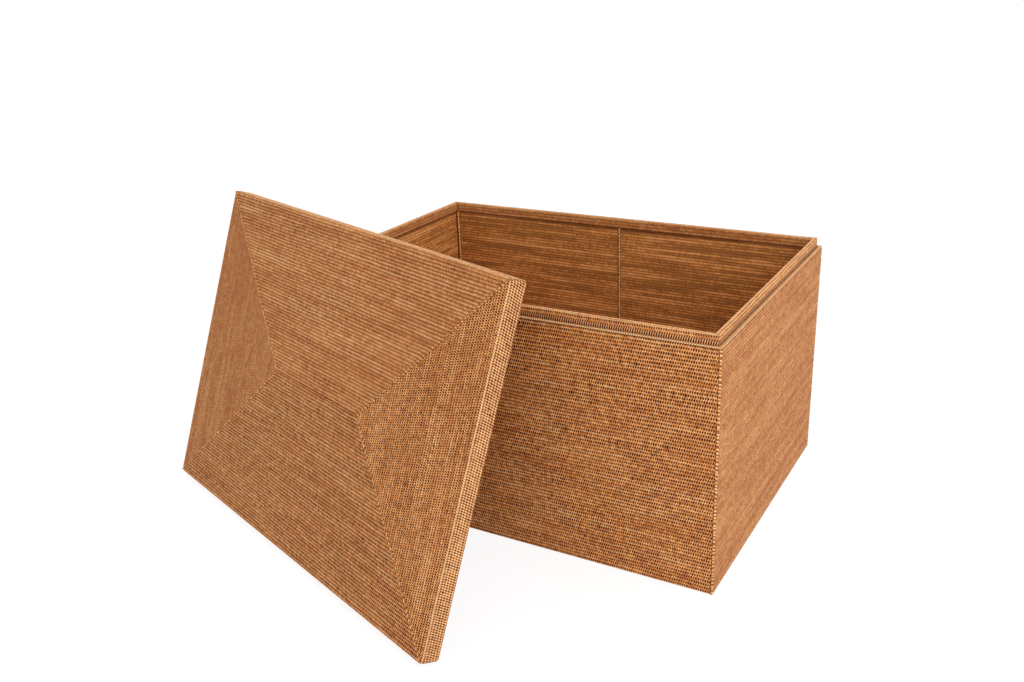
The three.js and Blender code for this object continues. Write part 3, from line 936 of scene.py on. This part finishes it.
class CANEBOX_OT_ledge_edging(Operator):
    """Lay the bright overcast course round the ledge"""
    bl_idname = "canebox.ledge_edging"
    bl_label = "Ledge edging"

    def execute(self, context):
        scene = context.scene
        # the course is pale cane, made paler still as a painted highlight on its round strands,
        # with painted shade in the slits between stitches
        looks = [Look(opened=0.0, bleached=0.7, slit=0.5, lean=0.7)]
        sides = []
        for side in SIDES:
            place = side_place(side)
            low, high = extents("ledge_edging", place)
            inner = extents("collar_band_front", side_place("front"))[0][1] - scene.cane_edges.seat
            top, bottom = high[2], low[2]
            edge = (top - bottom) / 2
            face = [*arc(edge, top - edge, edge, -1, -3), (inner, top)]
            sides.append(weave_skin(
                place, high[0], face, [(inner, bottom)], "outer_cane", looks, cuts=(2, 6),
                slanted=True, open_ends=True, seed=30, corner_radius=scene.cane_edges.corner,
                mitre_slope=1.0, groove=0.5 * MM, relief=0.35 * MM))
        add_piece("ledge_course", joined(sides), "root", "edge_cane", "ledge_edging")
        return {"FINISHED"}


class CANEBOX_OT_collar(Operator):
    """Wrap the collar: up its outside, over its top and down to the lining"""
    bl_idname = "canebox.collar"
    bl_label = "Collar"

    def execute(self, context):
        edges = context.scene.cane_edges
        edge, skin = edges.collar, edges.collar_skin
        # the first course's slits are dark with painted shade, and the three courses down the
        # inside are darkened with painted shade
        looks = [Look(opened=0.2, bleached=0.4, slit=0.9, lean=0.8), Look(), Look(bleached=0.35),
                 Look(opened=0.5, bleached=0.35), *[Look(opened=0.25, bleached=-0.35)] * 3]
        for seed, side, place, low, high in all_round("collar_band"):
            outer, inner, top = low[1], high[1], high[2]
            ledge_low, ledge_high = extents("ledge_edging", place)
            under, ledge = ledge_low[2], ledge_high[2]
            face = [
                (outer, ledge), *arc(outer + edge, top - edge, edge, 2, 1),
                *arc(inner - edge, top - edge, edge, 1, 0), (inner, low[2])]
            behind = [
                (inner - skin, low[2]), (inner - skin, top - skin),
                (outer + skin, top - skin), (outer + skin, under), (outer, under)]
            mesh = weave_skin(
                place, ledge_high[0], face, behind, "outer_cane", looks, seed=40 + seed,
                mitre_slope=1.0, mitre_gap=edges.seat, corner_radius=outer + edges.corner)
            add_piece(f"collar_weave_{side}", mesh, "root", "woven_cane", f"collar_band_{side}")
        return {"FINISHED"}


class CANEBOX_OT_lining(Operator):
    """Weave the lining; the long walls have two halves each"""
    bl_idname = "canebox.lining"
    bl_label = "Lining"

    def execute(self, context):
        panels = [("lining_left", "left"), ("lining_right", "right")]
        panels += [(f"lining_{half}_half_{side}", side)
                   for side in LONG_SIDES for half in ("left", "right")]
        for seed, (name, side) in enumerate(panels):
            place = side_place(side)
            low, high = extents(name, place)
            middle = place @ Matrix.Translation(((low[0] + high[0]) / 2, 0, 0))
            mesh = weave_skin(
                middle, (high[0] - low[0]) / 2, *slab(low, high, 2), "inner_cane",
                # the top course is darkened as the painted shadow under the collar band
                Look(opened=0.3), Look(opened=0.0, bleached=-0.7, slit=0.0),
                course="lining_course",
                cuts=(2, 2) if side == "front" else (2, 3), seed=50 + seed)
            add_piece(f"woven_{name}", mesh, "root", "lining_cane", name)
        return {"FINISHED"}


class CANEBOX_OT_lining_cords(Operator):
    """Lay the cords in the inner corners and over the mid-length seams"""
    bl_idname = "canebox.lining_cords"
    bl_label = "Lining cords"

    def execute(self, context):
        lining_low, lining_high = extents("lining_left", side_place("left"))
        outer, inner = lining_low[1], lining_high[1]
        # the second course of each core is darkened with painted shade, a dark line beside the cord
        looks = [Look(opened=0.0, bleached=0.2, slit=0.3),
                 Look(opened=0.0, bleached=-0.9, slit=0.0)]
        laid = Strands(start=0.25 * math.pi, sweep=0.22 * math.pi)
        for seed, corner, place, low, high in all_round("lining_corner_cord", CORNERS):
            reach, half = high[0] - inner, (high[2] - low[2]) / 2
            face = arc(inner, inner, reach, 1, 0)
            behind = [(high[0], outer), (outer, outer), (outer, high[0])]
            mesh = cord_mesh(
                place @ upright(low[2] + half), half, face, behind, (inner, inner), reach,
                "inner_cane", looks, "pale_strand", laid, 60 + seed)
            add_piece(f"inner_corner_cord_{corner}", mesh, "root", "edge_cane",
                      f"lining_corner_cord_{corner}")
        laid = Strands(start=0.45 * math.pi, sweep=0.5 * math.pi)
        for seed, side, place, low, high in all_round("seam_cord", LONG_SIDES):
            proud, half, wide = high[1] - inner, (high[2] - low[2]) / 2, high[0]
            face = [(-wide, inner), *arc(0, inner, proud, 2, 0), (wide, inner)]
            behind = [(wide, outer), (-wide, outer)]
            mesh = cord_mesh(
                place @ upright(low[2] + half), half, face, behind, (0.0, inner), proud,
                "inner_cane", looks, "pale_strand", laid, 70 + seed)
            add_piece(f"seam_stitching_{side}", mesh, "root", "edge_cane", f"seam_cord_{side}")
        return {"FINISHED"}


class CANEBOX_OT_floor(Operator):
    """Weave the mat on the floor of the box and the skin under it"""
    bl_idname = "canebox.floor"
    bl_label = "Floor mat and underside"

    def execute(self, context):
        place = side_place("front")
        low, high = extents("floor_mat", place)
        corner = extents("lining_corner_cord_front_left", corner_place("front_left"))[1][0]
        notch = corner + context.scene.cane_edges.seat

        def shorten(depth):
            near = min(depth, DEPTH - depth) < notch
            return notch - low[1] if near else 0.0

        mesh = weave_skin(
            place, high[0], *slab(low, high, 1), "inner_cane", Look(opened=0.7),
            course="lining_course", cuts=(1, 2), shorten=shorten, seed=80)
        add_piece("woven_floor_mat", mesh, "root", "lining_cane", "floor_mat")
        low, high = extents("underside_weave", place)
        mesh = weave_skin(place, high[0], *slab(low, high, 3), "outer_cane", cuts=(1, 2),
                          seed=81)
        add_piece("woven_underside", mesh, "root", "woven_cane", "underside_weave")
        return {"FINISHED"}


class CANEBOX_OT_lid_panels(Operator):
    """Weave the four mitred panels of the lid"""
    bl_idname = "canebox.lid_panels"
    bl_label = "Lid panels"

    def execute(self, context):
        edges = context.scene.cane_edges
        edge = edges.lid
        # each panel has its own pit depth, and its own painted shade for the light that falls on it
        looks = {
            "front": Look(opened=1.2, bleached=-0.2), "right": Look(opened=1.2, bleached=-0.03),
            "back": Look(opened=0.8, bleached=-0.2), "left": Look(opened=0.4, bleached=-0.41)}
        lid = lid_place()
        channel = extents("lid_ridge_cord", lid)[1][1] + edges.seat
        for seed, side, place, low, high in all_round("lid_panel", base=lid):
            long = side in LONG_SIDES
            slope = 2 * edges.hip_inset / DEPTH
            slope = slope if long else 1 / slope
            # the first course is pale cane; the right one is paler, partly as a painted highlight
            first = Look(opened=0.4, bleached=0.55 if side == "right" else 0.3, slit=0.25, lean=0.5)
            face = [(0, low[2]), *arc(edge, high[2] - edge, edge, 2, 1), (high[1], high[2])]
            mesh = weave_skin(
                place, (WIDTH if long else DEPTH) / 2, face, [(high[1], low[2])],
                "outer_cane", looks[side], first, edged=False,
                course="lid_course", seed=90 + seed, mitre_slope=slope,
                mitre_gap=channel * math.hypot(1, slope), corner_radius=edges.lid_corner)
            add_piece(f"lid_weave_{side}", mesh, "lid", "woven_cane", f"lid_panel_{side}")
        return {"FINISHED"}


class CANEBOX_OT_lid_skirts(Operator):
    """Weave the edge of the lid: down its outside, round its rim and up inside"""
    bl_idname = "canebox.lid_skirts"
    bl_label = "Lid edge"

    def execute(self, context):
        edges = context.scene.cane_edges
        lid = lid_place()
        lining = extents("lid_lining", lid)[0][2]
        look = Look(opened=1.15, bleached=0.35, slit=0.1, lean=0.5)
        for seed, side, place, _, high in all_round("lid_skirt", base=lid):
            thick, top = high[1], high[2]
            rim = thick / 2
            face = [(thick, lining), *arc(rim, rim, rim, 0, -2), (0, top)]
            mesh = weave_skin(
                place, (WIDTH if side in LONG_SIDES else DEPTH) / 2, face, [(thick, top)],
                "outer_cane", look, slanted=True, course="lid_course",
                seed=100 + seed, mitre_slope=1.0, mitre_gap=edges.seat,
                corner_radius=edges.lid_corner)
            add_piece(f"lid_edge_{side}", mesh, "lid", "woven_cane", f"lid_skirt_{side}")
        return {"FINISHED"}


class CANEBOX_OT_lid_cords(Operator):
    """Lay the course along the ridge of the lid and the stitched cords along its mitres"""
    bl_idname = "canebox.lid_cords"
    bl_label = "Lid cords"

    def execute(self, context):
        edges = context.scene.cane_edges
        lid = lid_place()
        low, high = extents("lid_ridge_cord", lid)
        wide, bottom, top = high[1], low[2], high[2]
        proud = 0.8 * MM
        face = [(-wide, top - proud), *arc(0, top - wide, wide, 1.8, 0.2), (wide, top - proud)]
        behind = [(wide, bottom), (-wide, bottom)]
        mesh = weave_skin(lid, high[0], face, behind, "outer_cane", [Look(bleached=-0.2)],
                          relief=CORD_RELIEF, seed=110)
        add_piece("lid_ridge_course", mesh, "lid", "edge_cane", "lid_ridge_cord")

        apex = Vector((WIDTH / 2 - edges.hip_inset, 0))
        # the core under the strands is darkened with painted shade, and its slits are dark with
        # painted shade
        looks = [Look(bleached=-0.35, slit=0.4)] * 2
        laid = Strands(start=0.0, sweep=math.pi, pitch=5.8 * MM, width=3.2 * MM,
                       lean=2.2 * MM, flatten=0.7)
        for seed, (name, end) in enumerate((("right", 1), ("left", -1))):
            arms = []
            for up in (1, -1):
                start = Vector((end * apex.x, 0))
                finish = Vector((end * (WIDTH / 2 - edges.lid), up * (DEPTH / 2 - edges.lid)))
                run = finish - start
                half = run.length / 2 - wide / 2
                middle = (start + finish) / 2 + run.normalized() * wide / 2
                place = lid @ Matrix.Translation((middle.x, middle.y, 0))
                place = place @ Matrix.Rotation(math.atan2(run.y, run.x), 4, "Z")
                arms.append(cord_mesh(
                    place, half, face, behind, (0.0, top - proud), wide, "outer_cane",
                    looks, "pale_strand", laid, 112 + 2 * seed + (up > 0)))
            add_piece(f"lid_hip_stitching_{name}", joined(arms), "lid", "edge_cane",
                      f"lid_hip_cord_{name}")
        return {"FINISHED"}


class CANEBOX_OT_lid_lining(Operator):
    """Weave the lining of the lid"""
    bl_idname = "canebox.lid_lining"
    bl_label = "Lid lining"

    def execute(self, context):
        place = side_place("front", lid_place())
        low, high = extents("lid_lining", place)
        mesh = weave_skin(
            place, high[0], *slab(low, high, 3), "inner_cane", Look(opened=0.7),
            course="lining_course", cuts=(1, 2), seed=120)
        add_piece("woven_lid_lining", mesh, "lid", "lining_cane", "lid_lining")
        return {"FINISHED"}


class CANEBOX_OT_woodwork(Operator):
    """Give the laths, boards and posts their sawn wood"""
    bl_idname = "canebox.woodwork"
    bl_label = "Woodwork"

    def execute(self, context):
        for name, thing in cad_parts.items():
            if not thing.hide_render:
                wood = "sawn_board" if "board" in name else "sawn_lath"
                thing.material_slots[0].material = material_of(wood)
        return {"FINISHED"}


# Floor, lamps and camera

FLOOR_REACH = 12.0
FLOOR_GREY = 0.9
FLOOR_GLOW = 1.08
GLOW_SHARE = 0.8  # how much of the floor's white is glow, so that the rest holds the shadow


def soft_lamp(name, power, size, offset, target):
    """A round lamp at an offset from what it points at."""
    data = bpy.data.lights.new(name, "AREA")
    data.energy, data.shape, data.size = power, "DISK", size
    lamp = new_object(name, data)
    lamp.location = target + Vector(offset)
    lamp.rotation_euler = (target - lamp.location).to_track_quat("-Z", "Y").to_euler()


def show_apart(tree, end, lit, shown, share=1.0):
    """Ends a tree in one shader, with a share of another one where the camera sees it.

    It sees it directly, in a reflection or through glass.
    """
    path = tree.nodes.new("ShaderNodeLightPath")
    camera, glossy, through = [Wire(tree, path.outputs[f"Is {ray} Ray"])
                               for ray in ("Camera", "Glossy", "Transmission")]
    seen = (camera + glossy + through).least(1.0) * share
    mixed = node(tree, "ShaderNodeMixShader", seen, Wire(tree, lit.outputs[0]), shown)
    plug(tree, tree.nodes[end].inputs["Surface"], mixed)


class CANEBOX_OT_stage(Operator):
    """Set up the white floor, the soft lamps and the camera"""
    bl_idname = "canebox.stage"
    bl_label = "Stage"

    def execute(self, context):
        scene = context.scene
        settings = scene.cane_stage
        scene.view_settings.view_transform = "Standard"
        self.light_world(scene, settings)
        self.lay_floor()
        low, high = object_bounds()
        middle = (low + high) / 2
        soft_lamp("key_lamp", settings.key, 1.8, (2.3, -0.3, 1.7), middle)
        soft_lamp("fill_lamp", settings.fill, 2.0, (0.9, -2.4, 0.9), middle)
        self.set_camera(scene, settings)
        return {"FINISHED"}

    def light_world(self, scene, settings):
        world = bpy.data.worlds.new("studio")
        world.use_nodes = True
        scene.world = world
        tree = world.node_tree
        even = tree.nodes["Background"]
        even.inputs["Color"].default_value = (1, 1, 1, 1)
        even.inputs["Strength"].default_value = settings.sky
        shown = node(tree, "ShaderNodeBackground", (1, 1, 1, 1))
        show_apart(tree, "World Output", even, shown)

    def lay_floor(self):
        corners = [(FLOOR_REACH * x, FLOOR_REACH * y, 0)
                   for x, y in ((-1, -1), (1, -1), (1, 1), (-1, 1))]
        mesh = bpy.data.meshes.new("floor")
        mesh.from_pydata(corners, [], [(0, 1, 2, 3)])
        material, tree, shader = new_material("white_floor")
        shader.inputs["Base Color"].default_value = tint([FLOOR_GREY] * 3)
        shader.inputs["Roughness"].default_value = 0.9
        shader.inputs["Specular IOR Level"].default_value = 0.0
        glow = node(tree, "ShaderNodeEmission", named={"Strength": FLOOR_GLOW})
        show_apart(tree, "Material Output", shader, glow, GLOW_SHARE)
        mesh.materials.append(material)
        new_object("floor", mesh)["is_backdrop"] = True

    def set_camera(self, scene, settings):
        turn, tilt, roll = settings.azimuth, settings.elevation, settings.roll
        back = Vector((math.sin(turn) * math.cos(tilt), -math.cos(turn) * math.cos(tilt),
                       math.sin(tilt)))
        right = Vector((0, 0, 1)).cross(back).normalized()
        up = back.cross(right)
        leant_right = right * math.cos(roll) + up * math.sin(roll)
        leant_up = up * math.cos(roll) - right * math.sin(roll)
        camera = new_object("camera", bpy.data.cameras.new("camera"))
        camera.data.lens = settings.lens
        rows = Matrix((leant_right, leant_up, back)).transposed().to_4x4()
        camera.matrix_world = Matrix.Translation(settings.camera_place) @ rows
        scene.camera = camera


OPERATORS = (
    CANEBOX_OT_outer_walls, CANEBOX_OT_corner_cords, CANEBOX_OT_ledge_edging, CANEBOX_OT_collar,
    CANEBOX_OT_lining, CANEBOX_OT_lining_cords, CANEBOX_OT_floor, CANEBOX_OT_lid_panels,
    CANEBOX_OT_lid_skirts, CANEBOX_OT_lid_cords, CANEBOX_OT_lid_lining, CANEBOX_OT_woodwork,
    CANEBOX_OT_stage,
)
SETTINGS = {
    "cane_weave": WeaveSizes, "cane_edges": RoundedEdges, "cane_colours": CaneColours,
    "cane_stage": StageSettings,
}


class CANEBOX_PT_sidebar(Panel):
    """The pieces of the box and their settings"""
    bl_idname = "CANEBOX_PT_sidebar"
    bl_label = "Cane Box"
    bl_space_type = "VIEW_3D"
    bl_region_type = "UI"
    bl_category = "Cane Box"

    def draw(self, context):
        for key, group in SETTINGS.items():
            box = self.layout.box()
            for name in group.__annotations__:
                box.prop(getattr(context.scene, key), name)
        for operator in OPERATORS:
            self.layout.operator(operator.bl_idname)


def register():
    for group in (*SETTINGS.values(), *OPERATORS, CANEBOX_PT_sidebar):
        bpy.utils.register_class(group)
    for key, group in SETTINGS.items():
        setattr(bpy.types.Scene, key, PointerProperty(type=group))


def unregister():
    for key in SETTINGS:
        delattr(bpy.types.Scene, key)
    for group in reversed((*SETTINGS.values(), *OPERATORS, CANEBOX_PT_sidebar)):
        bpy.utils.unregister_class(group)


def main():
    register()
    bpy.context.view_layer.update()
    for operator in OPERATORS:
        getattr(bpy.ops.canebox, operator.bl_idname.split(".")[1])()


if __name__ == "__main__":
    main()
